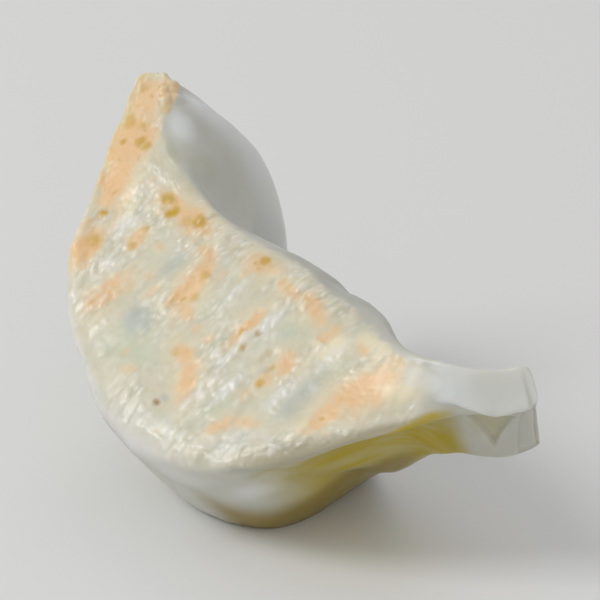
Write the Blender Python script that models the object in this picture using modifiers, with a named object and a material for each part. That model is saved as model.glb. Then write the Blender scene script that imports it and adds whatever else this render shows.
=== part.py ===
"""One pan-fried gyoza, resting on its belly with the browned face tilted up.

Metres, +Z up. The origin is the centre of the footprint's box, on the surface it rests on.

The dumpling is a loft in its own local frame. X runs from the back tip to the front
tip. The browned face lies in the plane z = 0 and looks along +z. +Y is the smooth wall's
side, -Y the pleated belly's side. Stations follow the centreline of the crescent-shaped
face, and each one carries a closed ring of points that goes round the belly, the pressed
rim and the smooth wall.
"""

import math

import bmesh
import bpy
from mathutils import Euler, Vector

MM = 0.001

# Driving dimensions, in millimetres and degrees
HALF_LENGTH = 40.0
FACE_BOW = 24.0
FACE_HALF_WIDTH = 16.0
BACK_TIP_HALF_WIDTH = 1.6
FRONT_TIP_HALF_WIDTH = 2.8
BACK_TIP_REACH = 1.6
BULGE = 14.0
FLAP_THICKNESS = 2.1
FACE_TILT = 34.0
END_TILT = 7.9
REST_HEIGHT = 35.6

# How the crescent's centreline and width run out to the back tip and to the front tip
BACK_CENTRE_POWER = 2.65
FRONT_CENTRE_POWER = 2.0
BACK_WIDTH_POWER = 1.4
FRONT_WIDTH_POWER = 3.0

# The back tip leans out of the crescent, along X, and the front tip sags: Y and Z
BACK_LEAN = 2.0
BACK_LEAN_SPAN = (-26.0, -38.0)
FRONT_SAG = (1.6, 2.0)
FRONT_SAG_SPAN = (29.0, 40.0)

# How far the back flap bows towards the wall's side, as a share of its depth
FLAP_BOW = 0.11

# The front end's face strip twists over into the flap
TWIST = 45.0
TWIST_SPAN = (20.0, 35.0)

# Where the filled body gives way to the pressed double flap at each end, along X
BACK_FILL_BELLY = (-35.0, -22.0)
BACK_FILL_WALL = (-31.0, -12.0)
FRONT_FILL_BELLY = (27.0, 6.0)
FRONT_FILL_WALL = (33.0, 20.0)

# The wall bulges more towards the front, over this span along X
WALL_BULGE = 8.0
FRONT_WALL_BULGE = 31.0
WALL_BULGE_SPAN = (4.0, 19.0)

# The pressed rim from the back tip to the front tip: X, Y, Z in the local frame
RIM = (
    (-40.0, 0.5, -3.2),
    (-38.0, 2.8, -5.2),
    (-35.0, 4.4, -9.2),
    (-30.8, 4.0, -16.4),
    (-27.0, 0.2, -23.6),
    (-20.0, -8.6, -30.5),
    (-10.0, -14.2, -33.0),
    (0.0, -15.4, -31.8),
    (9.0, -16.4, -28.6),
    (17.0, -16.2, -21.8),
    (24.0, -13.2, -16.4),
    (29.0, -11.0, -13.6),
    (33.5, -10.2, -12.8),
    (37.5, -7.6, -12.4),
    (40.0, -5.0, -11.0),
)

# Pleats pressed into the belly side along the rim, shallower towards the front flap
PLEAT_COUNT = 7
PLEAT_SPAN = (-30.0, 34.0)
PLEAT_DEPTH = 2.2
FRONT_PLEAT_DEPTH = 1.2
PLEAT_FADE_SPAN = (8.0, 16.0)

# The loft's rings, and how finely it is refined
STATIONS = 43
TIP_CROWDING = 0.25
REFINEMENT = 1

# The flat the dumpling has settled on
FLOOR_CUTTER = 0.2

# A ring of the filled body: share of the half width across, share of the depth, side of the flap
BODY_RING = (
    (0.00, 0.00, 0),
    (-0.50, 0.00, 0),
    (-0.94, 0.00, 0),
    (-1.07, 0.09, 0),
    (-1.15, 0.28, 0),
    (-1.22, 0.51, 0),
    (-1.15, 0.69, 0),
    (-0.84, 0.83, 0),
    (-0.36, 0.91, -1),
    (0.00, 1.01, -1),
    (0.00, 1.06, 0),
    (0.00, 1.01, 1),
    (-0.06, 0.88, 1),
    (0.34, 0.77, 0),
    (0.80, 0.60, 0),
    (1.13, 0.38, 0),
    (1.21, 0.20, 0),
    (1.12, 0.05, 0),
    (0.95, 0.00, 0),
    (0.50, 0.00, 0),
)

# The same ring where the wrapper's two layers are pressed together under the face
FLAP_RING = (
    (0.00, 0.00, 0),
    (-0.50, 0.00, 0),
    (-0.95, 0.00, 0),
    (-1.00, 0.06, 0),
    (-0.55, 0.14, -0.5),
    (-0.15, 0.28, -1),
    (0.00, 0.45, -1),
    (0.00, 0.60, -1),
    (0.00, 0.78, -1),
    (0.00, 0.98, -1),
    (0.00, 1.05, 0),
    (0.00, 0.98, 1),
    (0.10, 0.80, 1),
    (0.25, 0.62, 1),
    (0.42, 0.46, 1),
    (0.62, 0.29, 1),
    (0.82, 0.14, 0.7),
    (0.98, 0.04, 0.3),
    (0.95, 0.00, 0),
    (0.50, 0.00, 0),
)


def smoothstep(start, end, value):
    """Rise from 0 at start to 1 at end."""
    share = min(max((value - start) / (end - start), 0.0), 1.0)
    return share * share * (3.0 - 2.0 * share)


def face_centre(x):
    """The centreline of the browned face, a crescent whose tips curl towards +Y."""
    power = BACK_CENTRE_POWER if x < 0.0 else FRONT_CENTRE_POWER
    lean = BACK_LEAN * smoothstep(*BACK_LEAN_SPAN, x)
    sag = smoothstep(*FRONT_SAG_SPAN, x)
    bow = FACE_BOW * (1.0 - abs(x / HALF_LENGTH) ** power)
    return Vector((x - lean, -bow - FRONT_SAG[0] * sag, -FRONT_SAG[1] * sag))


def face_half_width(x):
    """Half the face's width, measured square to its centreline."""
    power = BACK_WIDTH_POWER if x < 0.0 else FRONT_WIDTH_POWER
    tip = BACK_TIP_HALF_WIDTH if x < 0.0 else FRONT_TIP_HALF_WIDTH
    share = max(1.0 - (x / HALF_LENGTH) ** 2, 0.0)
    return tip + (FACE_HALF_WIDTH - tip) * share ** power


def rim_point(x):
    """The pressed rim, read from a smooth curve through RIM."""
    last = len(RIM) - 1
    index = 0
    while index < last - 1 and x > RIM[index + 1][0]:
        index += 1
    before = Vector(RIM[max(index - 1, 0)])
    start = Vector(RIM[index])
    end = Vector(RIM[index + 1])
    after = Vector(RIM[min(index + 2, last)])
    share = min(max((x - start.x) / (end.x - start.x), 0.0), 1.0)
    span = end.x - start.x
    leave = (end - before) * (span / (end.x - before.x))
    arrive = (after - start) * (span / (after.x - start.x))
    square = share * share
    cube = square * share
    return (
        start * (2.0 * cube - 3.0 * square + 1.0)
        + leave * (cube - 2.0 * square + share)
        + end * (3.0 * square - 2.0 * cube)
        + arrive * (cube - square)
    )


def fill_share(x, belly):
    """1 where the dumpling is filled, 0 in the flat flaps at both ends."""
    back = BACK_FILL_BELLY if belly else BACK_FILL_WALL
    front = FRONT_FILL_BELLY if belly else FRONT_FILL_WALL
    return smoothstep(*back, x) * smoothstep(*front, x)


def pleat_height(x, depth):
    """How far the pleats lift the belly side: overlapping folds that die out towards the face."""
    start, end = PLEAT_SPAN
    place = (x - start) / (end - start) * PLEAT_COUNT
    if not 0.0 < place < PLEAT_COUNT:
        return 0.0
    phase = place % 1.0
    fold = smoothstep(0.0, 0.25, phase) * (1.0 - smoothstep(0.25, 1.0, phase))
    reach = smoothstep(0.42, 0.8, depth)
    full = PLEAT_DEPTH + (FRONT_PLEAT_DEPTH - PLEAT_DEPTH) * smoothstep(*PLEAT_FADE_SPAN, x)
    return full * fold * reach


def station_x(index):
    """Place of a station along X, with the stations closer together towards the tips."""
    share = 2.0 * index / (STATIONS - 1) - 1.0
    return HALF_LENGTH * share * (1.0 + TIP_CROWDING - TIP_CROWDING * share * share)


def ring(x):
    """The closed ring of points at one station."""
    step = 0.1
    centre = face_centre(x)
    along = (face_centre(x + step) - face_centre(x - step)).normalized()
    across = Vector((-along.y, along.x, 0.0))
    twist = math.radians(TWIST) * smoothstep(*TWIST_SPAN, x)
    across = across * math.cos(twist) + Vector((0.0, 0.0, math.sin(twist)))
    down = rim_point(x) - centre
    middle_ahead = face_centre(x + step) + rim_point(x + step)
    middle_behind = face_centre(x - step) + rim_point(x - step)
    flap_normal = (middle_ahead - middle_behind).cross(down).normalized()
    half_width = face_half_width(x)
    wall_bulge = WALL_BULGE + (FRONT_WALL_BULGE - WALL_BULGE) * smoothstep(*WALL_BULGE_SPAN, x)
    bow = FLAP_BOW * down.length * (1.0 - fill_share(x, True)) if x < 0.0 else 0.0
    points = []
    for body, flap in zip(BODY_RING, FLAP_RING):
        fill = fill_share(x, body[0] < 0.0)
        side = body[0] * fill + flap[0] * (1.0 - fill)
        depth = body[1] * fill + flap[1] * (1.0 - fill)
        layer = body[2] * fill + flap[2] * (1.0 - fill)
        lift = layer * FLAP_THICKNESS / 2.0 + bow * math.sin(math.pi * depth)
        if side < 0.0 or layer < 0.0:
            lift -= pleat_height(x, depth)
        inner = min(max(side, -1.0), 1.0)
        offset = inner * half_width + (side - inner) * (wall_bulge if side > 0.0 else BULGE)
        points.append(centre + across * offset + down * depth + flap_normal * lift)
    reach = BACK_TIP_REACH * smoothstep(-0.9, -1.0, x / HALF_LENGTH)
    return [point - along * reach for point in points]


def loft(name):
    """Join the rings into one closed mesh, with a strip of faces that shuts each thin end."""
    mesh = bmesh.new()
    rings = []
    for index in range(STATIONS):
        rings.append([mesh.verts.new(point * MM) for point in ring(station_x(index))])
    count = len(BODY_RING)
    for here, ahead in zip(rings, rings[1:]):
        for k in range(count):
            following = (k + 1) % count
            mesh.faces.new((here[k], here[following], ahead[following], ahead[k]))
    back_end = rings[0][:1] + rings[0][:0:-1]
    front_end = rings[-1]
    for end in (back_end, front_end):
        mesh.faces.new((end[0], end[1], end[count - 1]))
        for k in range(1, count // 2 - 1):
            mesh.faces.new((end[k], end[k + 1], end[count - k - 1], end[count - k]))
        mesh.faces.new((end[count // 2 - 1], end[count // 2], end[count // 2 + 1]))
    data = bpy.data.meshes.new(name)
    mesh.to_mesh(data)
    mesh.free()
    data.shade_smooth()
    return bpy.data.objects.new(name, data)


def wrapper_material():
    """Fried wheat wrapper, pale cream and slightly oily."""
    material = bpy.data.materials.new("fried_wrapper")
    material.use_nodes = True
    shader = material.node_tree.nodes["Principled BSDF"]
    shader.inputs["Base Color"].default_value = (0.66, 0.60, 0.47, 1.0)
    shader.inputs["Roughness"].default_value = 0.38
    shader.inputs["Metallic"].default_value = 0.0
    return material


def floor_cutter():
    """A block under the resting surface. It shaves the belly to the flat it settled on."""
    bpy.ops.mesh.primitive_cube_add(size=FLOOR_CUTTER, location=(0.0, 0.0, -FLOOR_CUTTER / 2.0))
    cutter = bpy.context.object
    cutter.name = "floor_cutter"
    cutter.hide_render = True
    cutter.display_type = "WIRE"
    return cutter


def centre_footprint(gyoza):
    """Slide the dumpling sideways until its box is centred on the origin."""
    bpy.context.view_layer.update()
    evaluated = gyoza.evaluated_get(bpy.context.evaluated_depsgraph_get())
    points = [evaluated.matrix_world @ vertex.co for vertex in evaluated.data.vertices]
    for axis in (0, 1):
        values = [point[axis] for point in points]
        gyoza.location[axis] -= (min(values) + max(values)) / 2.0


def main():
    for thing in list(bpy.data.objects):
        bpy.data.objects.remove(thing, do_unlink=True)
    parts = bpy.data.collections.new("chicken_gyoza")
    cutters = bpy.data.collections.new("cutters")
    bpy.context.scene.collection.children.link(parts)
    bpy.context.scene.collection.children.link(cutters)

    gyoza = loft("gyoza")
    parts.objects.link(gyoza)
    gyoza.data.materials.append(wrapper_material())
    gyoza.rotation_euler = Euler((math.radians(FACE_TILT), math.radians(END_TILT), 0.0))
    gyoza.location = (0.0, 0.0, REST_HEIGHT * MM)

    refine = gyoza.modifiers.new("refine", "SUBSURF")
    refine.levels = REFINEMENT
    refine.render_levels = REFINEMENT

    cutter = floor_cutter()
    for collection in list(cutter.users_collection):
        collection.objects.unlink(cutter)
    cutters.objects.link(cutter)
    settle = gyoza.modifiers.new("settle", "BOOLEAN")
    settle.operation = "DIFFERENCE"
    settle.object = cutter

    centre_footprint(gyoza)


main()
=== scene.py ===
"""Looks of one pan-fried gyoza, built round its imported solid.

The dumpling's skin is the same loft as its solid, drawn much finer, with the wrinkles,
blisters, folds and creases of the real wrapper as true relief. Lengths are millimetres in
the dumpling's own frame until the skin is placed: X from the back tip to the front tip, +Y
towards the smooth wall, and z = 0 on the browned face, which looks along +z.
"""

import math

import bpy
import numpy as np
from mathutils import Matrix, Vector


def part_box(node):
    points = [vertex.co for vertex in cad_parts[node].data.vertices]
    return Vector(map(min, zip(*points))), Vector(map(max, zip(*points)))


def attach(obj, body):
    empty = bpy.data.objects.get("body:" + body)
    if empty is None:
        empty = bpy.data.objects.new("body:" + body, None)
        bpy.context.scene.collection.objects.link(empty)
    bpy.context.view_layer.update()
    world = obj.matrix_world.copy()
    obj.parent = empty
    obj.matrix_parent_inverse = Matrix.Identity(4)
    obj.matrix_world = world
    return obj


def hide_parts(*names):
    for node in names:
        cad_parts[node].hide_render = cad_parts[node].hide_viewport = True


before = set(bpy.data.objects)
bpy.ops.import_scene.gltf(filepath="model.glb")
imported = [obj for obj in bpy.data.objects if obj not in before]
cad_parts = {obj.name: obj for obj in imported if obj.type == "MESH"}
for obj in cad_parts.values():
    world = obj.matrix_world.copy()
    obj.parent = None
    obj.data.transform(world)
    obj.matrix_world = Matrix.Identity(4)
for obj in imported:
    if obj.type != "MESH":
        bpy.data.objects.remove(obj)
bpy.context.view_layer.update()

MM = 0.001

# The dumpling's driving dimensions, as its solid has them
HALF_LENGTH = 40.0
FACE_BOW = 24.0
FACE_HALF_WIDTH = 16.0
BACK_TIP_HALF_WIDTH = 1.6
FRONT_TIP_HALF_WIDTH = 2.8
BACK_TIP_REACH = 1.6
BULGE = 14.0
FLAP_THICKNESS = 2.1
FACE_TILT = 34.0
END_TILT = 7.9
REST_HEIGHT = 35.6

# How the crescent's centreline and width run out to the back tip and to the front tip
BACK_CENTRE_POWER = 2.65
FRONT_CENTRE_POWER = 2.0
BACK_WIDTH_POWER = 1.4
FRONT_WIDTH_POWER = 3.0

# The back tip leans out of the crescent, along X, and the front tip sags: Y and Z
BACK_LEAN = 2.0
BACK_LEAN_SPAN = (-26.0, -38.0)
FRONT_SAG = (1.6, 2.0)
FRONT_SAG_SPAN = (29.0, 40.0)

# How far the back flap bows towards the wall's side, as a share of its depth
FLAP_BOW = 0.11

# The front end's face strip twists over into the flap
TWIST = 45.0
TWIST_SPAN = (20.0, 35.0)

# Where the filled body gives way to the pressed double flap at each end, along X
BACK_FILL_BELLY = (-35.0, -22.0)
BACK_FILL_WALL = (-31.0, -12.0)
FRONT_FILL_BELLY = (27.0, 6.0)
FRONT_FILL_WALL = (33.0, 20.0)

# The wall bulges more towards the front, over this span along X
WALL_BULGE = 8.0
FRONT_WALL_BULGE = 31.0
WALL_BULGE_SPAN = (4.0, 19.0)

# Pleats pressed into the belly side along the rim, shallower towards the front flap
PLEAT_COUNT = 7
PLEAT_SPAN = (-30.0, 34.0)
PLEAT_DEPTH = 2.2
FRONT_PLEAT_DEPTH = 1.2
PLEAT_FADE_SPAN = (8.0, 16.0)

# The loft's rings
STATIONS = 43
TIP_CROWDING = 0.25

# The pressed rim from the back tip to the front tip: X, Y, Z
RIM = (
    (-40.0, 0.5, -3.2),
    (-38.0, 2.8, -5.2),
    (-35.0, 4.4, -9.2),
    (-30.8, 4.0, -16.4),
    (-27.0, 0.2, -23.6),
    (-20.0, -8.6, -30.5),
    (-10.0, -14.2, -33.0),
    (0.0, -15.4, -31.8),
    (9.0, -16.4, -28.6),
    (17.0, -16.2, -21.8),
    (24.0, -13.2, -16.4),
    (29.0, -11.0, -13.6),
    (33.5, -10.2, -12.8),
    (37.5, -7.6, -12.4),
    (40.0, -5.0, -11.0),
)

# A ring of the filled body: share of the half width across, share of the depth, side of the flap
BODY_RING = (
    (0.00, 0.00, 0),
    (-0.50, 0.00, 0),
    (-0.94, 0.00, 0),
    (-1.07, 0.09, 0),
    (-1.15, 0.28, 0),
    (-1.22, 0.51, 0),
    (-1.15, 0.69, 0),
    (-0.84, 0.83, 0),
    (-0.36, 0.91, -1),
    (0.00, 1.01, -1),
    (0.00, 1.06, 0),
    (0.00, 1.01, 1),
    (-0.06, 0.88, 1),
    (0.34, 0.77, 0),
    (0.80, 0.60, 0),
    (1.13, 0.38, 0),
    (1.21, 0.20, 0),
    (1.12, 0.05, 0),
    (0.95, 0.00, 0),
    (0.50, 0.00, 0),
)

# The same ring where the wrapper's two layers are pressed together under the face
FLAP_RING = (
    (0.00, 0.00, 0),
    (-0.50, 0.00, 0),
    (-0.95, 0.00, 0),
    (-1.00, 0.06, 0),
    (-0.55, 0.14, -0.5),
    (-0.15, 0.28, -1),
    (0.00, 0.45, -1),
    (0.00, 0.60, -1),
    (0.00, 0.78, -1),
    (0.00, 0.98, -1),
    (0.00, 1.05, 0),
    (0.00, 0.98, 1),
    (0.10, 0.80, 1),
    (0.25, 0.62, 1),
    (0.42, 0.46, 1),
    (0.62, 0.29, 1),
    (0.82, 0.14, 0.7),
    (0.98, 0.04, 0.3),
    (0.95, 0.00, 0),
    (0.50, 0.00, 0),
)
RING = len(BODY_RING)

# How finely the skin is drawn: steps per station along it, and round half a ring, where the
# face's steps end at FACE_EDGE
STEPS_PER_STATION = 9
FACE_STEPS = 60
BACK_STEPS = 56
FACE_EDGE = 2.8

# The relief dies out over this share of a station at each end, and nothing lies lower than this
END_FADE = 0.8
LOWEST = 0.02

# Fried patches on the face: X, Y, half length, half width, angle in degrees, strength
FRIED = (
    (-40.0, -2.3, 5.0, 3.4, -55, 0.75),
    (-38.6, 0.9, 3.0, 1.9, 0, 0.65),
    (-29.6, -15.6, 5.0, 1.3, -62, 0.35),
    (-36.5, -8.3, 6.6, 3.9, -58, 1.00),
    (-33.2, -13.1, 5.4, 2.4, -62, 1.00),
    (-28.2, -22.9, 3.9, 1.9, -70, 1.00),
    (-23.0, -17.8, 2.2, 1.4, 88, 0.80),
    (-20.7, -11.4, 6.4, 2.1, -4, 0.75),
    (-19.3, -17.0, 0.9, 0.7, 0, 0.50),
    (-12.4, -14.0, 2.0, 1.1, -25, 0.75),
    (-10.4, -18.5, 4.8, 1.9, -85, 0.95),
    (-8.5, -21.5, 2.2, 1.1, -20, 0.70),
    (-20.0, -26.0, 4.2, 2.2, 84, 0.75),
    (-22.0, -27.9, 1.8, 1.4, 0, 0.45),
    (-14.5, -22.3, 1.6, 0.8, 80, 0.40),
    (-16.9, -21.1, 0.9, 0.7, 0, 0.35),
    (-4.5, -10.8, 3.6, 1.8, 10, 0.65),
    (1.7, -11.0, 2.8, 1.2, 0, 0.65),
    (7.1, -11.2, 3.8, 1.3, -20, 0.85),
    (12.0, -12.6, 2.2, 1.2, 75, 0.65),
    (17.9, -11.5, 1.7, 0.9, -15, 0.60),
    (1.2, -18.8, 3.9, 1.1, 87, 0.90),
    (-3.0, -26.4, 2.7, 1.3, -8, 0.90),
    (0.4, -28.9, 3.8, 1.6, -52, 0.95),
    (-4.6, -22.7, 1.0, 0.9, 0, 0.45),
    (-2.0, -23.0, 1.0, 0.9, 0, 0.45),
    (10.2, -19.3, 2.0, 1.6, -40, 0.80),
    (9.6, -22.7, 1.6, 1.2, 80, 0.60),
    (12.2, -28.5, 2.2, 1.0, 20, 0.60),
    (9.7, -31.1, 2.6, 1.2, 65, 0.75),
    (22.4, -16.2, 6.4, 2.5, 66, 1.00),
    (23.4, -16.6, 4.8, 2.2, 60, 0.75),
    (20.9, -21.4, 3.2, 1.8, 80, 0.90),
    (-7.9, -32.6, 1.4, 1.0, 40, 0.35),
)

# Amber spots where the wrapper soaked up oil: X, Y, radius, strength
AMBER = (
    (-24.4, -11.1, 1.1, 0.75),
    (-21.9, -12.2, 1.2, 1.00),
    (-19.2, -12.1, 1.0, 0.45),
    (-17.7, -11.1, 1.1, 0.75),
    (-41.6, -1.0, 1.0, 0.30),
    (-36.0, -0.9, 1.2, 0.50),
    (-39.1, -5.8, 1.2, 0.55),
    (-36.8, -5.1, 1.0, 0.50),
    (-35.0, -7.1, 0.9, 0.75),
    (-33.7, -7.2, 0.8, 0.70),
    (-37.2, -8.6, 0.6, 0.80),
    (-28.4, -21.7, 1.2, 0.60),
    (-23.1, -16.2, 0.7, 0.50),
    (-22.8, -19.2, 0.7, 0.50),
    (-9.8, -16.5, 0.9, 0.55),
    (-8.5, -19.5, 0.7, 0.50),
    (-4.8, -9.9, 0.8, 0.75),
    (-4.6, -26.8, 0.9, 0.45),
    (9.6, -23.5, 0.8, 0.95),
    (9.2, -20.8, 0.7, 0.70),
    (3.3, -21.0, 0.7, 0.55),
    (-30.7, -18.1, 0.9, 1.00),
)

# Dark toasted specks: X, Y, radius, strength
SPECKS = (
    (-0.7, -33.6, 0.60, 0.80),
    (3.5, -18.3, 0.60, 0.55),
    (3.3, -21.0, 0.60, 0.25),
    (7.1, -19.5, 0.70, 0.30),
    (6.7, -20.7, 0.80, 0.30),
    (8.7, -21.4, 0.80, 0.25),
)

# Thin, see-through places, bluish grey: X, Y, half length, half width, angle, strength
THIN = (
    (-12.7, -26.3, 3.0, 2.4, -30, 0.90),
    (-15.1, -17.6, 3.2, 1.7, 80, 0.60),
    (16.3, -21.6, 4.6, 1.9, 84, 0.90),
    (-0.2, -32.5, 1.0, 0.8, 0, 0.90),
    (8.6, -16.0, 3.4, 2.2, 0, 0.35),
)

# Places where the filling shows faintly green: the same columns
GREEN = (
    (-9.3, -29.9, 5.4, 3.8, 15, 0.90),
    (7.3, -15.6, 3.6, 2.2, 10, 0.70),
    (7.1, -30.2, 4.6, 1.6, 80, 0.80),
    (16.8, -16.0, 4.0, 1.6, 80, 0.60),
    (-19.7, -17.6, 3.0, 2.4, 0, 0.40),
)

# Bright creamy places: the same columns
CREAM = (
    (26.0, -12.6, 4.6, 2.6, 35, 0.90),
    (14.0, -13.6, 3.0, 2.8, 0, 0.80),
    (18.8, -10.6, 4.4, 1.6, -5, 0.60),
    (-28.8, -14.6, 5.0, 1.6, -62, 0.85),
    (19.4, -25.4, 3.0, 1.8, 40, 0.60),
    (-17.6, -8.8, 3.4, 1.2, 10, 0.50),
    (-1.0, -10.6, 3.0, 1.4, 0, 0.40),
)

# Whitish, puffed places and painted highlights along the wrinkles' ridges: the same columns
PUFFS_AND_HIGHLIGHTS = (
    (-26.8, -17.3, 2.6, 1.8, 75, 0.90),
    (-28.0, -11.2, 2.2, 1.6, 60, 0.40),
    (-23.5, -22.6, 1.6, 0.9, -20, 0.60),
    (3.7, -15.6, 2.8, 1.1, 85, 0.85),
    (2.7, -22.0, 4.0, 0.7, 88, 0.80),
    (3.0, -29.4, 3.6, 0.7, 88, 0.70),
    (6.3, -26.9, 4.2, 0.9, 87, 0.85),
    (13.3, -22.5, 4.4, 1.0, 80, 0.70),
    (15.1, -14.6, 4.2, 1.0, 85, 0.50),
    (-4.2, -15.6, 3.4, 0.6, 86, 0.50),
    (-10.6, -12.6, 2.4, 0.8, -60, 0.40),
    (20.1, -28.2, 2.4, 1.0, 20, 0.70),
    (16.6, -28.5, 1.6, 0.9, 0, 0.50),
    (16.5, -19.7, 1.2, 0.7, 0, 0.60),
    (12.0, -32.2, 6.0, 1.8, 42, 0.55),
    (1.0, -36.4, 6.0, 1.5, 8, 0.45),
    (27.9, -10.0, 3.2, 2.0, 30, 0.95),
)

# Olive oil stains and painted olive shade off the face: X, place down the side, half length,
# half width, strength
SEEPS_AND_SHADES = (
    (-32.2, -3.1, 2.6, 0.8, 0.55),
    (-30.5, -4.6, 2.2, 1.4, 0.25),
    # these two, in the front flap's pocket: painted olive shade
    (34.2, 6.0, 1.3, 1.5, 0.45),
    (32.0, 4.4, 1.6, 1.2, 0.60),
    (-3.0, -3.2, 3.0, 0.6, 0.15),
    # these two, along the belly's fold: painted olive shade
    (13.6, 3.2, 2.6, 0.22, 0.80),
    (15.0, 4.9, 1.5, 1.1, 0.70),
)

# Whitish places and painted highlights off the face: the same columns
PALE_AND_HIGHLIGHTS = (
    (-35.0, -4.7, 2.6, 1.5, 0.75),
    (-27.0, -8.8, 4.5, 0.7, 0.80),
    (30.2, -0.4, 2.4, 1.0, 0.90),
    (35.0, -0.8, 5.0, 1.6, 0.45),
    (11.2, 4.0, 3.6, 0.6, 0.70),
    (5.0, 3.2, 5.0, 0.5, 0.40),
)

# Smooth places, where the wrapper has few blisters: the same columns
SMOOTH = (
    (-9.3, -29.9, 6.4, 4.6, 15, 1.00),
    (7.5, -15.6, 3.8, 2.8, 10, 0.90),
    (-35.7, -8.9, 12.0, 4.6, -60, 0.85),
    (23.2, -16.3, 11.0, 5.6, 60, 1.00),
    (27.0, -12.0, 6.0, 4.0, 30, 1.00),
    (16.6, -20.3, 7.0, 3.2, 82, 0.85),
    (19.5, -29.0, 6.0, 2.0, 40, 0.80),
    (-12.0, -34.5, 11.0, 3.4, -20, 0.85),
    (-18.8, -17.5, 4.0, 3.2, 0, 0.60),
)

# Long wrinkles with blistered crests: start, end, height, half width
WRINKLES = (
    ((3.9, -13.0), (3.0, -18.5), 0.22, 0.90),
    ((2.6, -18.0), (3.0, -32.8), 0.26, 0.60),
    ((6.3, -22.5), (6.3, -31.3), 0.26, 0.75),
    ((-4.3, -12.5), (-4.1, -19.0), 0.18, 0.55),
    ((-6.5, -13.5), (-6.1, -20.0), 0.14, 0.50),
    ((13.1, -18.9), (14.1, -26.8), 0.22, 0.80),
    ((15.5, -11.5), (14.9, -18.4), 0.16, 0.80),
    ((-26.0, -21.2), (-24.9, -27.8), 0.20, 0.80),
    ((-16.0, -26.2), (-17.2, -31.7), 0.16, 0.60),
    ((-24.1, -22.6), (-22.2, -22.4), 0.16, 0.60),
    ((-13.6, -9.4), (-10.4, -14.2), 0.18, 0.50),
    ((9.3, -24.6), (9.0, -28.8), 0.14, 0.50),
    ((22.0, -28.2), (17.0, -28.6), 0.18, 0.50),
    ((17.0, -29.2), (12.5, -33.0), 0.16, 0.45),
    ((12.5, -33.2), (6.3, -36.2), 0.14, 0.45),
    ((5.4, -36.8), (-1.0, -37.6), 0.12, 0.40),
    ((-33.0, -8.6), (-22.0, -9.2), 0.20, 0.60),
)

# Upper edge of the browned crust: X and place down the wall's side
CRUST_EDGE = (
    (-40.0, -7.2),
    (-38.3, -6.6),
    (-37.0, -4.8),
    (-36.0, -3.5),
    (-35.0, -2.8),
    (-33.0, -2.5),
    (-31.0, -2.7),
    (-29.0, -3.0),
    (-27.0, -3.4),
    (-24.0, -3.2),
    (-19.0, -2.9),
    (-4.0, -2.7),
    (12.0, -2.8),
    (21.0, -2.8),
    (26.5, -2.1),
    (30.0, -1.2),
)

# Where the standing back flap's edge turns over: X and place down the wall's side
BACK_RIM = (
    (-38.0, -7.2),
    (-36.0, -8.1),
    (-34.0, -8.7),
    (-31.0, -9.1),
    (-29.0, -9.3),
    (-26.0, -9.4),
    (-10.0, -9.5),
)

# The front flap's folds, as X and place down the side: the edge of its upper roll, and the
# pocket between the roll and the layer below. The end of the front layer has place, then X
ROLL_EDGE = (
    (29.6, 0.4),
    (30.7, 0.9),
    (32.4, 1.3),
    (34.2, 2.2),
    (36.2, 3.5),
    (37.8, 2.8),
    (40.0, 2.3),
)
POCKET = (
    (31.8, 3.0),
    (38.2, 5.3),
    (35.4, 8.2),
)
LAYER_END = (
    (2.0, 39.2),
    (5.0, 38.7),
    (8.0, 37.9),
    (10.0, 37.8),
)
FLAP_RING_STEP = 1.25
ROLL_HEIGHT = 0.75
POCKET_DEPTH = 0.6
LAYER_END_DEPTH = 0.35

# The belly's fold below the lip, in the same columns, and the belly's length per ring place
BELLY_FOLD = (
    (11.5, 2.7),
    (14.0, 3.1),
    (14.6, 4.3),
    (15.2, 5.6),
    (17.0, 7.0),
)
BELLY_RING_STEP = 4.5
BELLY_FOLD_DEPTH = 0.55

# Relief over the wall's ridge, on the ragged back tip, along the left edge and on the back
# flap's rim
RIDGE_HEIGHT = 0.8
RAGGED_HEIGHT = 0.55
EDGE_ROUGHNESS = 0.30
EDGE_SWELL = 1.1
EDGE_DIP = 0.6
RIM_BEAD = 0.25

# Relief of the face: wrinkles, wide waves, beads, domes and grain
FINE_HEIGHT = 0.16
WIDE_HEIGHT = 0.26
BEAD_HEIGHT = 0.17
DOME_HEIGHT = 0.21
GRAIN_HEIGHT = 0.03
SPECK_DEPTH = 0.15

# Relief everywhere, and off the face alone
BODY_WAVE = 0.28
WALL_WAVE = 0.09

# Sizes of the noise that frays the edges of patches and spots
WARP_SIZE = 1.6
WIDE_WARP_SIZE = 4.5

# Blisters: how their places are squeezed, so that they come out longer along Y, and their sizes
BLISTER_STRETCH = np.array((1.0, 0.62))
BEAD_SIZE = 0.70
DOME_SIZE = 1.25
BUBBLE_SIZE = 0.8
RAGGED_SIZE = 1.3

# The material's noise scales, and its roughness from the glossiest place to the dullest
MOTTLE_SCALE = 260.0
SPECKLE_SCALE = 1100.0
GLOSS_SCALE = 350.0
ROUGHNESS = (0.32, 0.48)

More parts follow.
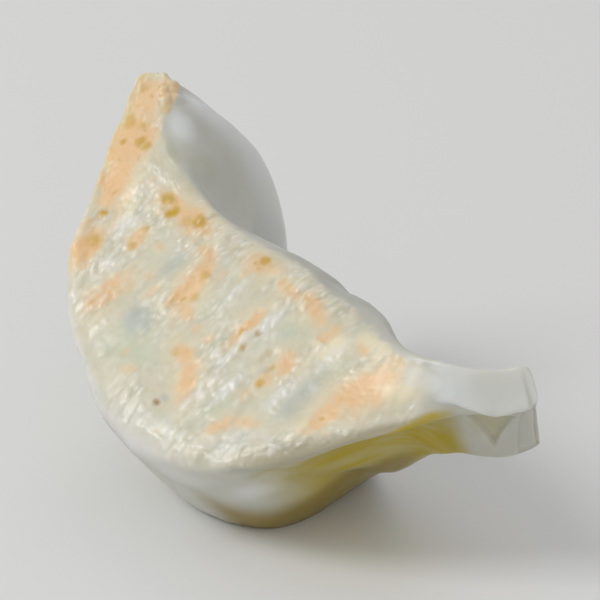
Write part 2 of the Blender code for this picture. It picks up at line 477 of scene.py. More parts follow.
# The coat of colours over the plain wrapper: mask, colour and the share that covers
# The plain wrapper, greyer and darker than the real one: the shade on its sides is partly painted in
SHADED_BASE_COLOUR = (0.565, 0.565, 0.505)
UNDER_COLOURS = (
    ("face", (0.665, 0.63, 0.485), 1.0),
    # the hidden sides keep a lighter wrapper colour, without that painted shade
    ("hidden", (0.68, 0.655, 0.57), 0.7),
    # painted shade below the front flap's roll and behind the ridge
    ("roll_and_ridge_shade", (0.44, 0.44, 0.38), 0.6),
    # olive oil stains, with painted shade in the belly's fold and the front flap's pocket
    ("seep_and_shade", (0.44, 0.40, 0.22), 0.8),
    # whitish places, with painted highlights on the back flap's rim and the front flap's roll
    ("pale", (0.80, 0.82, 0.82), 0.85),
    ("rim_pale", (0.74, 0.73, 0.72), 0.7),
)
MOTTLE_COLOUR = (0.70, 0.68, 0.58)
MIDDLE_COLOURS = (
    ("green", (0.60, 0.63, 0.46), 0.8),
    ("thin", (0.45, 0.50, 0.47), 0.85),
    ("halo", (0.78, 0.67, 0.45), 0.75),
    ("cream", (0.92, 0.83, 0.59), 0.85),
    # whitish puffs, with painted highlights along the wrinkles' ridges
    ("puff_and_highlight", (0.78, 0.79, 0.77), 0.65),
    # painted shade in the pits between blisters
    ("pit_shade", (0.50, 0.50, 0.38), 0.45),
    # painted highlight on the crests of blisters and wrinkles
    ("crest_highlight", (0.86, 0.85, 0.79), 0.62),
)
CRUST_COLOUR = (0.83, 0.56, 0.30)
UPPER_COLOURS = (
    ("amber", (0.58, 0.36, 0.02), 1.0),
    ("dark", (0.37, 0.19, 0.04), 1.0),
    ("lip_shade", (0.39, 0.35, 0.23), 0.8),
    # painted olive shade and reflection in the hollow under the lip
    ("valley_shade", (0.47, 0.36, 0.01), 1.0),
    # painted brown shade and reflection low on the belly
    ("belly_shade", (0.27, 0.19, 0.02), 0.9),
)


def smoothstep(start, end, value):
    """Rise from 0 at start to 1 at end."""
    share = np.clip((value - start) / (end - start), 0.0, 1.0)
    return share * share * (3.0 - 2.0 * share)


# The loft, as the solid has it

def face_centre(x):
    """The centreline of the browned face, a crescent whose tips curl towards +Y."""
    power = BACK_CENTRE_POWER if x < 0.0 else FRONT_CENTRE_POWER
    lean = BACK_LEAN * smoothstep(*BACK_LEAN_SPAN, x)
    sag = smoothstep(*FRONT_SAG_SPAN, x)
    bow = FACE_BOW * (1.0 - abs(x / HALF_LENGTH) ** power)
    return np.array((x - lean, -bow - FRONT_SAG[0] * sag, -FRONT_SAG[1] * sag))


def face_half_width(x):
    """Half the face's width, measured square to its centreline."""
    power = BACK_WIDTH_POWER if x < 0.0 else FRONT_WIDTH_POWER
    tip = BACK_TIP_HALF_WIDTH if x < 0.0 else FRONT_TIP_HALF_WIDTH
    share = max(1.0 - (x / HALF_LENGTH) ** 2, 0.0)
    return tip + (FACE_HALF_WIDTH - tip) * share ** power


def rim_point(x):
    """The pressed rim, read from a smooth curve through RIM."""
    points = np.array(RIM)
    last = len(points) - 1
    index = 0
    while index < last - 1 and x > points[index + 1][0]:
        index += 1
    before = points[max(index - 1, 0)]
    start = points[index]
    end = points[index + 1]
    after = points[min(index + 2, last)]
    span = end[0] - start[0]
    share = min(max((x - start[0]) / span, 0.0), 1.0)
    leave = (end - before) * (span / (end[0] - before[0]))
    arrive = (after - start) * (span / (after[0] - start[0]))
    square = share * share
    cube = square * share
    return (
        start * (2.0 * cube - 3.0 * square + 1.0)
        + leave * (cube - 2.0 * square + share)
        + end * (3.0 * square - 2.0 * cube)
        + arrive * (cube - square)
    )


def fill_share(x, belly):
    """1 where the dumpling is filled, 0 in the flat flaps at both ends."""
    back = BACK_FILL_BELLY if belly else BACK_FILL_WALL
    front = FRONT_FILL_BELLY if belly else FRONT_FILL_WALL
    return smoothstep(*back, x) * smoothstep(*front, x)


def pleat_height(x, depth):
    """How far the pleats lift the belly side: overlapping folds that die out towards the face."""
    start, end = PLEAT_SPAN
    place = (x - start) / (end - start) * PLEAT_COUNT
    if not 0.0 < place < PLEAT_COUNT:
        return 0.0
    phase = place % 1.0
    fold = smoothstep(0.0, 0.25, phase) * (1.0 - smoothstep(0.25, 1.0, phase))
    reach = smoothstep(0.42, 0.8, depth)
    full = PLEAT_DEPTH + (FRONT_PLEAT_DEPTH - PLEAT_DEPTH) * smoothstep(*PLEAT_FADE_SPAN, x)
    return full * fold * reach


def station_x(index):
    """Place of a station along X, with the stations closer together towards the tips."""
    share = 2.0 * index / (STATIONS - 1) - 1.0
    return HALF_LENGTH * share * (1.0 + TIP_CROWDING - TIP_CROWDING * share * share)


def unit(vector):
    return vector / np.linalg.norm(vector)


def ring(x):
    """The closed ring of points at one station."""
    step = 0.1
    centre = face_centre(x)
    along = unit(face_centre(x + step) - face_centre(x - step))
    twist = math.radians(TWIST) * smoothstep(*TWIST_SPAN, x)
    across = np.array((-along[1], along[0], 0.0)) * math.cos(twist)
    across[2] = math.sin(twist)
    down = rim_point(x) - centre
    middle_ahead = face_centre(x + step) + rim_point(x + step)
    middle_behind = face_centre(x - step) + rim_point(x - step)
    flap_normal = unit(np.cross(middle_ahead - middle_behind, down))
    half_width = face_half_width(x)
    wall_bulge = WALL_BULGE + (FRONT_WALL_BULGE - WALL_BULGE) * smoothstep(*WALL_BULGE_SPAN, x)
    bow = FLAP_BOW * np.linalg.norm(down) * (1.0 - fill_share(x, True)) if x < 0.0 else 0.0
    points = []
    for body, flap in zip(BODY_RING, FLAP_RING):
        fill = fill_share(x, body[0] < 0.0)
        side = body[0] * fill + flap[0] * (1.0 - fill)
        depth = body[1] * fill + flap[1] * (1.0 - fill)
        layer = body[2] * fill + flap[2] * (1.0 - fill)
        lift = layer * FLAP_THICKNESS / 2.0 + bow * math.sin(math.pi * depth)
        if side < 0.0 or layer < 0.0:
            lift -= pleat_height(x, depth)
        inner = min(max(side, -1.0), 1.0)
        offset = inner * half_width + (side - inner) * (wall_bulge if side > 0.0 else BULGE)
        points.append(centre + across * offset + down * depth + flap_normal * lift)
    reach = BACK_TIP_REACH * smoothstep(-0.9, -1.0, x / HALF_LENGTH)
    return np.array(points) - along * reach


# The fine skin drawn over the loft

def spline_weights(places, count, closed):
    """Weights of a uniform cubic B-spline's control points at each place along it."""
    weights = np.zeros((len(places), count))
    rows = np.arange(len(places))
    first = np.floor(places).astype(int)
    if not closed:
        first = np.minimum(first, count - 3)
    f = places - first
    shares = (
        (1.0 - f) ** 3 / 6.0,
        (3.0 * f ** 3 - 6.0 * f ** 2 + 4.0) / 6.0,
        (-3.0 * f ** 3 + 3.0 * f ** 2 + 3.0 * f + 1.0) / 6.0,
        f ** 3 / 6.0,
    )
    for step, share in enumerate(shares):
        column = first - 1 + step
        column = column % count if closed else np.clip(column, 0, count - 1)
        np.add.at(weights, (rows, column), share)
    return weights


def pinched(ring_points):
    """A ring pressed flat, each point at the middle of its pair on the other layer."""
    partner = ring_points[(RING - np.arange(RING)) % RING]
    return (ring_points + partner) / 2.0


def skin_grid():
    """Points of the smooth skin, with each column's X and each row's place round the ring."""
    xs = [station_x(index) for index in range(STATIONS)]
    rings = [ring(x) for x in xs]
    first = pinched(rings[0])
    last = pinched(rings[-1])
    cage = np.array([first, first, first] + rings + [last, last, last])
    stations = np.array([xs[0]] * 3 + xs + [xs[-1]] * 3)
    along = np.linspace(1.0, len(cage) - 2.0, (len(cage) - 3) * STEPS_PER_STATION + 1)
    half = np.concatenate((
        np.linspace(0.0, FACE_EDGE, FACE_STEPS + 1),
        np.linspace(FACE_EDGE, RING / 2.0, BACK_STEPS + 1)[1:],
    ))
    around = np.concatenate((half, RING - half[-2:0:-1]))
    along_weights = spline_weights(along, len(cage), False)
    around_weights = spline_weights(around, RING, True)
    points = np.einsum("ui,vk,ikc->uvc", along_weights, around_weights, cage, optimize=True)
    return points, along_weights @ stations, around


def grid_normals(points):
    """Outward normals of the grid, from its neighbours along and round it."""
    along = np.gradient(points, axis=0)
    around = np.roll(points, -1, axis=1) - np.roll(points, 1, axis=1)
    normals = np.cross(around, along)
    length = np.linalg.norm(normals, axis=2, keepdims=True)
    return normals / np.maximum(length, 1e-9)


# Noise in the dumpling's own space

def hashed(cells, seed):
    """A repeatable random number from 0 to 1 for each whole-numbered cell."""
    mixed = np.full(cells.shape[:-1], seed * 7919 + 17, dtype=np.uint64)
    whole = cells.astype(np.int64).astype(np.uint64)
    for axis in range(cells.shape[-1]):
        mixed = mixed ^ (whole[..., axis] * np.uint64(0x9E3779B97F4A7C15))
        mixed = (mixed ^ (mixed >> np.uint64(29))) * np.uint64(0xBF58476D1CE4E5B9)
        mixed = mixed ^ (mixed >> np.uint64(32))
    return (mixed >> np.uint64(11)).astype(float) / float(1 << 53)


def noise(places, seed):
    """Smooth noise from -1 to 1 at places in two or three dimensions."""
    base = np.floor(places)
    f = places - base
    f = f * f * f * (f * (f * 6.0 - 15.0) + 10.0)
    dimensions = places.shape[-1]
    total = np.zeros(places.shape[:-1])
    for corner in range(1 << dimensions):
        offset = np.array([(corner >> axis) & 1 for axis in range(dimensions)])
        share = np.prod(np.where(offset == 1, f, 1.0 - f), axis=-1)
        total += share * hashed(base + offset, seed)
    return total * 2.0 - 1.0


def layered_noise(places, seed, octaves=3):
    """Noise with finer and weaker layers added."""
    total = np.zeros(places.shape[:-1])
    weight = 1.0
    for octave in range(octaves):
        total += weight * noise(places * 2.0 ** octave, seed + octave)
        weight *= 0.5
    return total / (2.0 - 2.0 * weight)


def blisters(flat, size, seed, share):
    """Round bumps from 0 to 1, one in each cell that the draw picks."""
    place = flat / size
    base = np.floor(place)
    height = np.zeros(flat.shape[:-1])
    for right in (-1, 0, 1):
        for up in (-1, 0, 1):
            cell = base + np.array((right, up))
            jitter = np.stack((hashed(cell, seed), hashed(cell, seed + 1)), axis=-1)
            radius = 0.35 + 0.45 * hashed(cell, seed + 2)
            present = hashed(cell, seed + 3) < share
            gap = np.linalg.norm(place - cell - jitter, axis=-1) / radius
            dome = np.clip(1.0 - gap * gap, 0.0, 1.0) ** 1.5
            dome = dome * (0.4 + 0.6 * hashed(cell, seed + 4))
            height = np.maximum(height, np.where(present, dome, 0.0))
    return height


def ring_side(around):
    """Place round the ring counted from the face's middle: + down the belly side, - down the wall."""
    return np.where(around > RING / 2.0, around - RING, around)


def blotch(flat, warp, patch):
    """A soft patch from 0 to 1 with an uneven edge."""
    x, y, half_length, half_width, angle, strength = patch
    turn = math.radians(angle)
    dx = flat[..., 0] - x
    dy = flat[..., 1] - y
    along = (dx * math.cos(turn) + dy * math.sin(turn)) / half_length
    across = (dy * math.cos(turn) - dx * math.sin(turn)) / half_width
    reach = np.hypot(along, across) + 0.42 * warp
    return strength * smoothstep(1.3, 0.3, reach)


def spot(flat, warp, x, y, radius):
    """A small round spot from 0 to 1."""
    reach = np.hypot(flat[..., 0] - x, flat[..., 1] - y) / radius + 0.55 * warp
    return smoothstep(1.35, 0.25, reach)


def patches(flat, warp, table):
    """The strongest of a table's soft patches at each place."""
    covered = np.zeros(flat.shape[:-1])
    for patch in table:
        covered = np.maximum(covered, blotch(flat, warp, patch))
    return covered


def spots(flat, warp, table):
    """The strongest of a table's small round spots at each place."""
    covered = np.zeros(flat.shape[:-1])
    for x, y, radius, strength in table:
        covered = np.maximum(covered, strength * spot(flat, warp, x, y, radius))
    return covered


def side_patches(x, side, warp, table):
    """The strongest of a table's soft patches that are given by X and place down the side."""
    covered = np.zeros(warp.shape)
    for x_middle, side_middle, length, width, strength in table:
        reach = np.hypot((x - x_middle) / length, (side - side_middle) / width) + 0.35 * warp
        covered = np.maximum(covered, strength * smoothstep(1.1, 0.2, reach))
    return covered


def wrinkle(flat, start, end, half_width):
    """A long low ridge of height 1 between two places on the face."""
    start = np.array(start)
    way = np.array(end) - start
    share = np.clip(((flat - start) @ way) / (way @ way), 0.0, 1.0)
    gap = np.linalg.norm(flat - start - share[..., None] * way, axis=-1)
    fade = np.sin(math.pi * np.clip(share, 0.04, 0.96))
    return fade * np.exp(-(gap / half_width) ** 2)


def edge_gap(x, side, line):
    """How far a place lies past a line given as X and place down the side."""
    line = np.array(line)
    return side - np.interp(x, line[:, 0], line[:, 1])


def line_gap(x, side, line, step):
    """Distance in millimetres from a line of folds given as X and place down the side."""
    line = np.array(line) * (1.0, step)
    place = np.stack(np.broadcast_arrays(x, side * step), axis=-1)
    nearest = np.full(place.shape[:-1], 99.0)
    for start, end in zip(line[:-1], line[1:]):
        way = end - start
        share = np.clip(((place - start) @ way) / (way @ way), 0.0, 1.0)
        nearest = np.minimum(nearest, np.linalg.norm(place - start - share[..., None] * way, axis=-1))
    return nearest


def pocket_share(x, side):
    """1 inside the pocket between the front flap's folds, 0 outside."""
    corners = np.array(POCKET) * (1.0, FLAP_RING_STEP)
    place = np.stack(np.broadcast_arrays(x, side * FLAP_RING_STEP), axis=-1)
    inside = np.full(place.shape[:-1], 99.0)
    for corner, after in zip(corners, np.roll(corners, -1, axis=0)):
        way = unit(after - corner)
        inside = np.minimum(inside, (place - corner) @ np.array((-way[1], way[0])))
    return smoothstep(-0.10, 0.45, inside)


def face_masks(points, warp, wide_warp):
    """Tones of the browned face, each from 0 to 1."""
    flat = points[..., :2]
    wider = []
    for x, y, length, width, angle, strength in FRIED:
        wider.append((x, y, length * 1.5 + 0.8, width * 1.7 + 0.8, angle, strength))
    freckles = smoothstep(0.30, 0.75, layered_noise(points / 2.6, 31)) * smoothstep(-0.1, 0.4, wide_warp)
    fried = np.maximum(patches(flat, warp, FRIED), 0.45 * freckles)
    flecks = smoothstep(0.25, 0.7, layered_noise(points / 1.1, 131, 2)) * smoothstep(0.3, 0.8, fried)
    flecks = flecks * smoothstep(-0.2, 0.3, wide_warp)
    return {
        "fried": fried,
        "halo": patches(flat, wide_warp, wider),
        "amber": np.maximum(0.55 * flecks, spots(flat, warp, AMBER)),
        "dark": spots(flat, warp, SPECKS),
        "thin": patches(flat, wide_warp, THIN),
        "green": patches(flat, wide_warp, GREEN),
        # whitish puffs, with painted highlights along the wrinkles' ridges
        "puff_and_highlight": patches(flat, warp, PUFFS_AND_HIGHLIGHTS),
        "smooth": patches(flat, wide_warp, SMOOTH),
        "cream": patches(flat, wide_warp, CREAM),
    }


def belly_masks(x, side):
    """Painted shade: the lip's shade, an olive shade with reflection under it, and a brown one
    with reflection on the belly's lowest part.

    Here as in the masks below, each smoothstep fades between two places along X in
    millimetres, or between two places round the ring.
    """
    lip_shade = smoothstep(1.35, 2.0, side) * smoothstep(3.6, 2.7, side)
    lip_shade = lip_shade * smoothstep(9.0, 16.0, x) * smoothstep(33.0, 29.0, x)
    # The hollow under the lip: painted olive shade and reflection, streaked
    upper = 2.7 - 1.5 * smoothstep(23.0, 30.5, x)
    lower = 3.4 * smoothstep(17.0, 26.0, x)
    valley = smoothstep(upper, upper + 0.7, side) * smoothstep(8.6, 5.6, side - lower)
    valley = valley * smoothstep(11.5, 18.5, x + 0.9 * (side - 3.0)) * smoothstep(33.2, 29.5, x)
    streaks = np.stack(np.broadcast_arrays(x * 0.9 - side * 2.2, side * 0.8), axis=-1)
    valley_shade = np.clip(valley * (0.92 + 0.35 * layered_noise(streaks, 121)), 0.0, 1.0)
    # Low on the belly and in the hollow by the front flap: painted brown shade and reflection
    low = side - 0.25 * (x - 9.0)
    belly_shade = smoothstep(4.0, 5.1, low) * smoothstep(9.4, 8.6, side)
    belly_shade = belly_shade * smoothstep(4.0, 8.0, x) * smoothstep(26.0, 20.0, x)
    by_flap = 0.3 * valley * smoothstep(26.5, 30.0, x) * smoothstep(3.0, 6.0, side)
    return lip_shade, valley_shade, np.maximum(belly_shade, by_flap)


def pale_mask(x, side, wide_warp):
    """Whitish places off the face, with painted highlights on the back flap's rim and front flap's roll.
    """
    rim = smoothstep(2.4, 0.0, edge_gap(x, side, BACK_RIM)) * smoothstep(-39.0, -37.0, x)
    rim = rim * smoothstep(-8.0, -16.0, x)
    roll = smoothstep(0.15, -0.15, edge_gap(x, side, ROLL_EDGE)) * smoothstep(-3.0, -1.5, side)
    roll = roll * smoothstep(29.5, 31.5, x) * (1.0 - 0.4 * smoothstep(33.0, 36.0, x))
    pale = np.maximum(side_patches(x, side, wide_warp, PALE_AND_HIGHLIGHTS), rim)
    return np.maximum(pale, 0.7 * roll)


def roll_and_ridge_shade_mask(x, side):
    """Painted shade: darker wrapper below the front flap's roll and behind the ridge."""
    below_roll = smoothstep(-0.15, 0.15, edge_gap(x, side, ROLL_EDGE)) * smoothstep(28.0, 32.0, x)
    band = smoothstep(-2.2, -2.8, side) * smoothstep(-6.5, -4.5, side)
    band = band * smoothstep(-12.0, -4.0, x) * smoothstep(30.0, 24.0, x)
    return np.maximum(0.8 * below_roll, 0.9 * band)


def tone_masks(points, xs, around):
    """What the wrapper's colour depends on, each from 0 to 1."""
    side = ring_side(around)[None, :]
    x = xs[:, None]
    warp = layered_noise(points / WARP_SIZE, 11)
    wide_warp = layered_noise(points / WIDE_WARP_SIZE, 21)
    face = smoothstep(-0.35, 0.25, edge_gap(x, side, CRUST_EDGE) + 0.35 * warp)
    face = face * smoothstep(2.9, 2.0, side) * smoothstep(31.5, 27.5, x)
    masks = {name: values * face for name, values in face_masks(points, warp, wide_warp).items()}
    lip_shade, valley_shade, belly_shade = belly_masks(x, side)
    rim_pale = smoothstep(1.7, 2.3, side + 0.2 * warp) * smoothstep(3.4, 2.6, side)
    rim_pale = rim_pale * smoothstep(8.0, 2.0, x) * smoothstep(-31.0, -27.0, x)
    # Olive oil stains, with painted shade in the front flap's pocket and along the belly's fold
    seep_and_shade = np.maximum(side_patches(x, side, wide_warp, SEEPS_AND_SHADES), 0.85 * pocket_share(x, side))
    hidden_belly = smoothstep(4.0, 6.0, side) * smoothstep(6.0, -4.0, x)
    hidden_wall = smoothstep(-4.2, -6.0, side) * smoothstep(-14.0, -6.0, x)
    masks["face"] = face
    masks["lip_shade"] = lip_shade
    masks["valley_shade"] = valley_shade
    masks["belly_shade"] = belly_shade
    masks["rim_pale"] = rim_pale
    masks["seep_and_shade"] = seep_and_shade * (1.0 - face)
    masks["pale"] = pale_mask(x, side, wide_warp) * (1.0 - face)
    masks["hidden"] = np.maximum(hidden_belly, hidden_wall) * (1.0 - belly_shade)
    masks["roll_and_ridge_shade"] = roll_and_ridge_shade_mask(x, side) * (1.0 - face)
    return masks


def face_relief(points, masks):
    """Relief of the browned face in millimetres, and how far each place is a crest or a pit: the
    crests get a painted highlight and the pits painted shade.
    """
    flat = points[..., :2]
    rough = smoothstep(-0.40, 0.40, layered_noise(points / 4.0, 71))
    rough = rough * (1.0 - 0.95 * masks["smooth"]) * (1.0 - 0.6 * masks["thin"])
    beads = blisters(flat * BLISTER_STRETCH, BEAD_SIZE, 81, 0.85) * rough
    domes = blisters(flat * BLISTER_STRETCH, DOME_SIZE, 91, 0.45) * rough
    fine = layered_noise(flat / np.array((1.15, 4.2)), 51)
    wide = layered_noise(flat / np.array((3.2, 8.0)), 61)
    calm = 1.0 - 0.6 * masks["smooth"]
    height = (FINE_HEIGHT * fine * (0.3 + 0.7 * rough) + WIDE_HEIGHT * wide) * calm
    height = height + BEAD_HEIGHT * beads + DOME_HEIGHT * domes
    height = height + GRAIN_HEIGHT * layered_noise(points / 0.5, 101, 2)
    # How far each place is a crest, for the painted highlight
    crest_highlight = np.maximum(0.8 * beads, domes)
    bubbles = 0.5 + 1.3 * blisters(flat, BUBBLE_SIZE, 111, 0.9)
    for start, end, rise, half_width in WRINKLES:
        fold = wrinkle(flat, start, end, half_width)
        height = height + rise * fold * bubbles
        crest_highlight = np.maximum(crest_highlight, fold * np.minimum(0.55 * bubbles, 1.0) * min(rise / 0.2, 1.0))
    height = height - SPECK_DEPTH * masks["dark"]
    # Low places between the blisters, for the painted shade
    pit_shade = smoothstep(0.05, -0.45, fine + 0.6 * (crest_highlight - 0.2)) * (0.35 + 0.65 * rough)
    return height, np.clip(crest_highlight, 0.0, 1.0), pit_shade


def flap_folds(x, side):
    """The front flap's roll, the pocket under it and the end of its front layer."""
    on_flap = smoothstep(30.0, 33.0, x) * smoothstep(39.5, 39.1, x) * smoothstep(-3.0, -1.8, side)
    inner = -edge_gap(x, side, ROLL_EDGE)
    roll = np.where(inner > 0.0, (1.0 - np.exp(-inner / 0.28)) * np.exp(-inner / 2.4), 0.0)
    end_line = np.array(LAYER_END)
    past = x - np.interp(side, end_line[:, 0], end_line[:, 1])
    layer_end = smoothstep(-0.15, 0.15, past) * smoothstep(2.0, 3.0, side) * (side <= 9.5)
    height = ROLL_HEIGHT * roll * on_flap - POCKET_DEPTH * pocket_share(x, side)
    return height - LAYER_END_DEPTH * layer_end


def hump(value, middle, half_width):
    """A smooth bump of height 1."""
    return np.exp(-((value - middle) / half_width) ** 2)


def fold_relief(x, side, points):
    """Folds, swells and ragged edges round the face, in millimetres."""
    belly = hump(line_gap(x, side, BELLY_FOLD, BELLY_RING_STEP), 0.0, 1.1)
    ridge = hump(x, -22.0, 8.0) * hump(side, -3.3, 0.9)
    ragged = smoothstep(-35.5, -38.0, x) * smoothstep(-1.5, -3.0, side) * smoothstep(-8.0, -6.0, side)
    ragged = ragged * blisters(points[..., :2], RAGGED_SIZE, 141, 0.7)
    edge = smoothstep(1.4, 2.2, side) * smoothstep(3.6, 2.8, side) * smoothstep(10.0, 0.0, x)
    swell = EDGE_SWELL * hump(x, -25.0, 7.0) - EDGE_DIP * hump(x, -12.0, 5.0)
    swell = swell + EDGE_ROUGHNESS * layered_noise(points / 3.0, 151, 2)
    bead = hump(edge_gap(x, side, BACK_RIM), 0.0, 0.4)
    bead = bead * smoothstep(-39.0, -36.0, x) * smoothstep(-8.0, -16.0, x)
    height = flap_folds(x, side) - BELLY_FOLD_DEPTH * belly + edge * swell
    return height + RIDGE_HEIGHT * ridge + RAGGED_HEIGHT * ragged + RIM_BEAD * bead


def relief(points, xs, around, masks):
    """How far the real wrapper stands proud of the smooth skin, in millimetres."""
    face = masks["face"]
    side = ring_side(around)[None, :]
    height, crest_highlight, pit_shade = face_relief(points, masks)
    # Crests and pits carry the painted highlight and the painted shade
    masks["crest_highlight"] = crest_highlight * face
    masks["pit_shade"] = pit_shade * face
    height = face * height + fold_relief(xs[:, None], side, points)
    height = height + BODY_WAVE * layered_noise(points / 9.0, 41) * (1.0 - 0.5 * face)
    height = height + WALL_WAVE * layered_noise(points / 2.6, 161) * (1.0 - face)
    rows = np.arange(len(xs))
    ends = np.minimum(rows, rows[::-1]) / float(STEPS_PER_STATION)
    return height * smoothstep(0.0, END_FADE, ends)[:, None]


def placed(points):
    """Tilt the skin to the pose it lies in, shave what would sink in, and give it in metres."""
    tilt = math.radians(FACE_TILT)
    lean = math.radians(END_TILT)
    x, y, z = points[..., 0], points[..., 1], points[..., 2]
    y, z = y * math.cos(tilt) - z * math.sin(tilt), y * math.sin(tilt) + z * math.cos(tilt)
    x, z = x * math.cos(lean) + z * math.sin(lean), z * math.cos(lean) - x * math.sin(lean)
    z = np.maximum(z + REST_HEIGHT, LOWEST)
    return np.stack((x, y, z), axis=-1) * MM


def grid_index(columns, count):
    """Vertex of each grid place. The two layers of each shut end share theirs."""
    half = count // 2
    fold = np.minimum(np.arange(count), count - np.arange(count))
    middle = (columns - 2) * count
    index = np.zeros((columns, count), dtype=int)
    index[0] = fold
    index[1:-1] = half + 1 + np.arange(middle).reshape(columns - 2, count)
    index[-1] = half + 1 + middle + fold
    return index


def build_skin():
    """The whole dumpling as one closed mesh with its tone masks stored on it."""
    smooth, xs, around = skin_grid()
    masks = tone_masks(smooth, xs, around)
    lift = relief(smooth, xs, around, masks)
    shaped = placed(smooth + grid_normals(smooth) * lift[..., None])
    plain = placed(smooth).reshape(-1, 3)
    low, high = (np.array(corner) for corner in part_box("gyoza"))
    shift = (low + high) / 2.0 - (plain.min(axis=0) + plain.max(axis=0)) / 2.0
    shaped[..., :2] += shift[:2]

    index = grid_index(*shaped.shape[:2])
    total = index.max() + 1
    vertices = np.zeros((total, 3))
    vertices[index.reshape(-1)] = shaped.reshape(-1, 3)
    here, ahead = index[:-1], index[1:]
    faces = np.stack((here, np.roll(here, -1, axis=1), np.roll(ahead, -1, axis=1), ahead), axis=-1)

    mesh = bpy.data.meshes.new("gyoza_skin")
    mesh.from_pydata(vertices.tolist(), [], faces.reshape(-1, 4).tolist())
    mesh.update()
    for name, values in masks.items():
        stored = np.zeros(total)
        stored[index.reshape(-1)] = np.broadcast_to(values, index.shape).reshape(-1)
        attribute = mesh.attributes.new(name, "FLOAT", "POINT")
        attribute.data.foreach_set("value", stored.astype(np.float32))
    mesh.shade_smooth()
    skin = bpy.data.objects.new("gyoza_skin", mesh)
    bpy.context.scene.collection.objects.link(skin)
    return skin, Vector((shift[0], shift[1], REST_HEIGHT * MM))


# Materials

class Nodes:
    """Small helper that adds and joins a material's nodes."""

    def __init__(self, name):
        self.material = bpy.data.materials.new(name)
        self.material.use_nodes = True
        self.tree = self.material.node_tree
        self.shader = self.tree.nodes["Principled BSDF"]

    def add(self, kind, **settings):
        node = self.tree.nodes.new(kind)
        for key, value in settings.items():
            setattr(node, key, value)
        return node

    def join(self, output, target):
        self.tree.links.new(output, target)

    def mask(self, name):
        return self.add("ShaderNodeAttribute", attribute_name=name).outputs["Fac"]

    def noise(self, scale, detail=3.0):
        place = self.add("ShaderNodeTexCoord")
        texture = self.add("ShaderNodeTexNoise")
        texture.inputs["Scale"].default_value = scale
        texture.inputs["Detail"].default_value = detail
        self.join(place.outputs["Object"], texture.inputs["Vector"])
        return texture.outputs["Fac"]

    def spread(self, value, low, high, to_low=0.0, to_high=1.0):
        node = self.add("ShaderNodeMapRange", interpolation_type="SMOOTHSTEP")
        node.inputs["From Min"].default_value = low
        node.inputs["From Max"].default_value = high
        node.inputs["To Min"].default_value = to_low
        node.inputs["To Max"].default_value = to_high
        self.join(value, node.inputs["Value"])
        return node.outputs["Result"]

    def maths(self, operation, first, second):
        node = self.add("ShaderNodeMath", operation=operation)
        for socket, value in zip(node.inputs, (first, second)):
            if isinstance(value, (int, float)):
                socket.default_value = value
            else:
                self.join(value, socket)
        return node.outputs[0]

    def paint(self, below, colour, mask):
        node = self.add("ShaderNodeMix", data_type="RGBA")
        if isinstance(below, tuple):
            node.inputs["A"].default_value = below + (1.0,)
        else:
            self.join(below, node.inputs["A"])
        node.inputs["B"].default_value = colour + (1.0,)
        self.join(mask, node.inputs["Factor"])
        return node.outputs["Result"]

    def coats(self, colour, table):
        for name, coat, share in table:
            colour = self.paint(colour, coat, self.maths("MULTIPLY", self.mask(name), share))
        return colour


def wrapper_material():
    """Steamed and fried wheat wrapper: whitish and see-through, with golden, oily patches, and
    with highlights and shade painted into its colour.
    """
    nodes = Nodes("fried_wrapper")
    mottle = nodes.spread(nodes.noise(MOTTLE_SCALE, 4.0), 0.45, 0.7)
    mottle = nodes.maths("MULTIPLY", mottle, nodes.spread(nodes.mask("face"), 0.0, 1.0, 0.12, 0.5))
    uneven = nodes.maths("ADD", nodes.maths("MULTIPLY", nodes.noise(SPECKLE_SCALE), 0.9), 0.62)
    crust = nodes.maths("MINIMUM", nodes.maths("MULTIPLY", nodes.mask("fried"), uneven), 1.0)
    # Less crust colour on the crests, as part of their painted highlight
    crust = nodes.maths("MULTIPLY", crust, nodes.spread(nodes.mask("crest_highlight"), 0.0, 1.0, 1.0, 0.7))
    colour = nodes.coats(SHADED_BASE_COLOUR, UNDER_COLOURS)
    colour = nodes.paint(colour, MOTTLE_COLOUR, mottle)
    colour = nodes.coats(colour, MIDDLE_COLOURS)
    colour = nodes.paint(colour, CRUST_COLOUR, crust)
    colour = nodes.coats(colour, UPPER_COLOURS)
    nodes.join(colour, nodes.shader.inputs["Base Color"])

    gloss = nodes.spread(nodes.noise(GLOSS_SCALE, 1.0), 0.25, 0.75, *ROUGHNESS)
    nodes.join(gloss, nodes.shader.inputs["Roughness"])
    nodes.shader.inputs["Subsurface Weight"].default_value = 0.35
    nodes.shader.inputs["Subsurface Radius"].default_value = (1.0, 0.75, 0.45)
    nodes.shader.inputs["Subsurface Scale"].default_value = 0.0025
    nodes.shader.inputs["Coat Weight"].default_value = 0.12
    nodes.shader.inputs["Coat Roughness"].default_value = 0.2
    return nodes.material


def floor_material():
    nodes = Nodes("floor")
    nodes.shader.inputs["Base Color"].default_value = (0.80, 0.80, 0.79, 1.0)
    nodes.shader.inputs["Roughness"].default_value = 0.7
    return nodes.material


# The studio

FLOOR_RADIUS = 2.0

# The camera, in degrees and metres, and where it aims from the middle of the two tips, in
# millimetres
CAMERA_AZIMUTH = 51.4
CAMERA_ELEVATION = 26.0
CAMERA_DISTANCE = 0.7
CAMERA_LENS = 321.8
AIM_RIGHT = -5.2
AIM_UP = -10.0

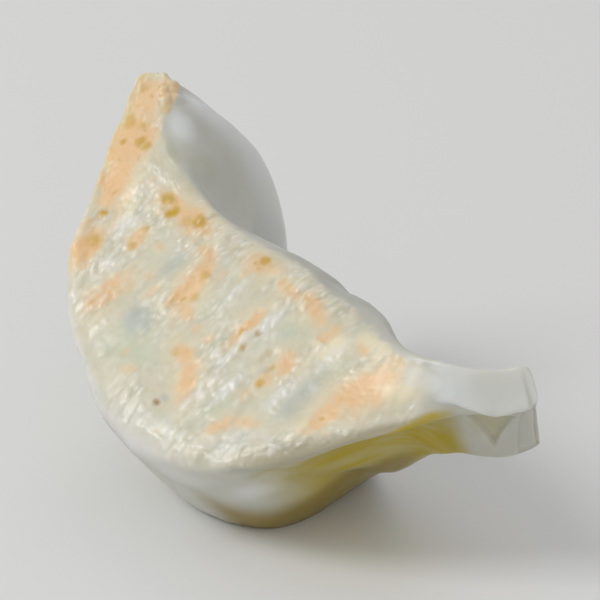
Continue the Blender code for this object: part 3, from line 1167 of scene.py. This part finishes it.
# Soft lights: name, direction, distance, size in metres and power
SOFTBOXES = (
    ("key", (-0.42, -0.62, 0.66), 0.9, 0.34, 3.2),
    ("back", (-0.45, 0.60, 0.66), 1.0, 0.5, 0.5),
    ("front", (0.80, -0.58, 0.14), 0.9, 0.5, 0.7),
)
SKY_STRENGTH = 0.52


def add_floor():
    bpy.ops.mesh.primitive_circle_add(vertices=96, radius=FLOOR_RADIUS, fill_type="NGON")
    floor = bpy.context.object
    floor.name = "floor"
    floor.data.materials.append(floor_material())


def view_back(azimuth, elevation):
    """The way from the object to a camera at this azimuth and elevation."""
    turn = math.radians(azimuth)
    rise = math.radians(elevation)
    return Vector((math.sin(turn) * math.cos(rise), -math.cos(turn) * math.cos(rise), math.sin(rise)))


def add_camera(chord_middle):
    back = view_back(CAMERA_AZIMUTH, CAMERA_ELEVATION)
    right = Vector((0.0, 0.0, 1.0)).cross(back).normalized()
    up = back.cross(right)
    data = bpy.data.cameras.new("camera")
    data.lens = CAMERA_LENS
    data.sensor_width = 36.0
    data.clip_start = 0.01
    camera = bpy.data.objects.new("camera", data)
    camera.location = chord_middle + (right * AIM_RIGHT + up * AIM_UP) * MM + back * CAMERA_DISTANCE
    camera.rotation_euler = back.to_track_quat("Z", "Y").to_euler()
    bpy.context.scene.collection.objects.link(camera)
    bpy.context.scene.camera = camera


def add_softbox(name, direction, distance, size, power):
    """A square soft light that looks at the dumpling."""
    data = bpy.data.lights.new(name, "AREA")
    data.size = size
    data.energy = power
    light = bpy.data.objects.new(name, data)
    way = Vector(direction).normalized()
    light.location = way * distance + Vector((0.0, 0.0, 0.02))
    light.rotation_euler = way.to_track_quat("Z", "Y").to_euler()
    bpy.context.scene.collection.objects.link(light)


def add_studio():
    for softbox in SOFTBOXES:
        add_softbox(*softbox)
    world = bpy.data.worlds.new("studio")
    world.use_nodes = True
    background = world.node_tree.nodes["Background"]
    background.inputs["Color"].default_value = (1.0, 1.0, 1.0, 1.0)
    background.inputs["Strength"].default_value = SKY_STRENGTH
    bpy.context.scene.world = world
    bpy.context.scene.view_settings.view_transform = "Standard"


def main():
    skin, chord_middle = build_skin()
    skin.data.materials.append(wrapper_material())
    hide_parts("gyoza")
    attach(skin, "root")

    add_floor()
    add_camera(chord_middle)
    add_studio()


main()
